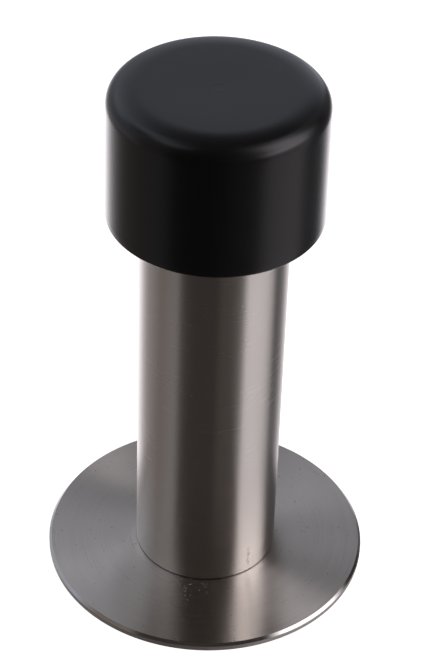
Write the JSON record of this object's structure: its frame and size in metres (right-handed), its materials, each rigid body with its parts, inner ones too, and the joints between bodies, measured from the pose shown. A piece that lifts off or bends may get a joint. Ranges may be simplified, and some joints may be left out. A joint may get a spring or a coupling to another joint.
{
  "type": "door stop",
  "caption": "Round tubular post on a thin round rosette, with a rubber cap over its free end that meets the door; screws onto a hidden fixing stud.",
  "frame": {"origin": "centre of the rosette's underside, which lies on the wall or floor", "axes": "+Z along the post, from the mounting surface to the buffer; X and Y are free because the stop is round"},
  "size_m": [0.05, 0.05, 0.085],
  "materials": {
    "rosette_stainless": "brushed in circles, with a polished bevel",
    "post_stainless": "brushed round the post",
    "insert_steel": "turned, zinc plated",
    "plug_nylon": "moulded, matt",
    "buffer_rubber": "moulded, satin"
  },
  "bodies": {
    "post": {"post_tube": "post_stainless", "foot_insert": "insert_steel", "head_plug": "plug_nylon"},
    "rosette": {"rosette": "rosette_stainless"},
    "buffer": {"buffer_cap": "buffer_rubber"}
  },
  "joints": [
    {"name": "rosette_turn", "type": "hinge", "parent": "post", "child": "rosette", "pos_m": [0, 0, 0.00063], "axis": [0, 0, 1], "continuous": true},
    {"name": "buffer_pull", "type": "slide", "parent": "post", "child": "buffer", "axis": [0, 0, 1], "range_m": [0, 0.018]}
  ]
}
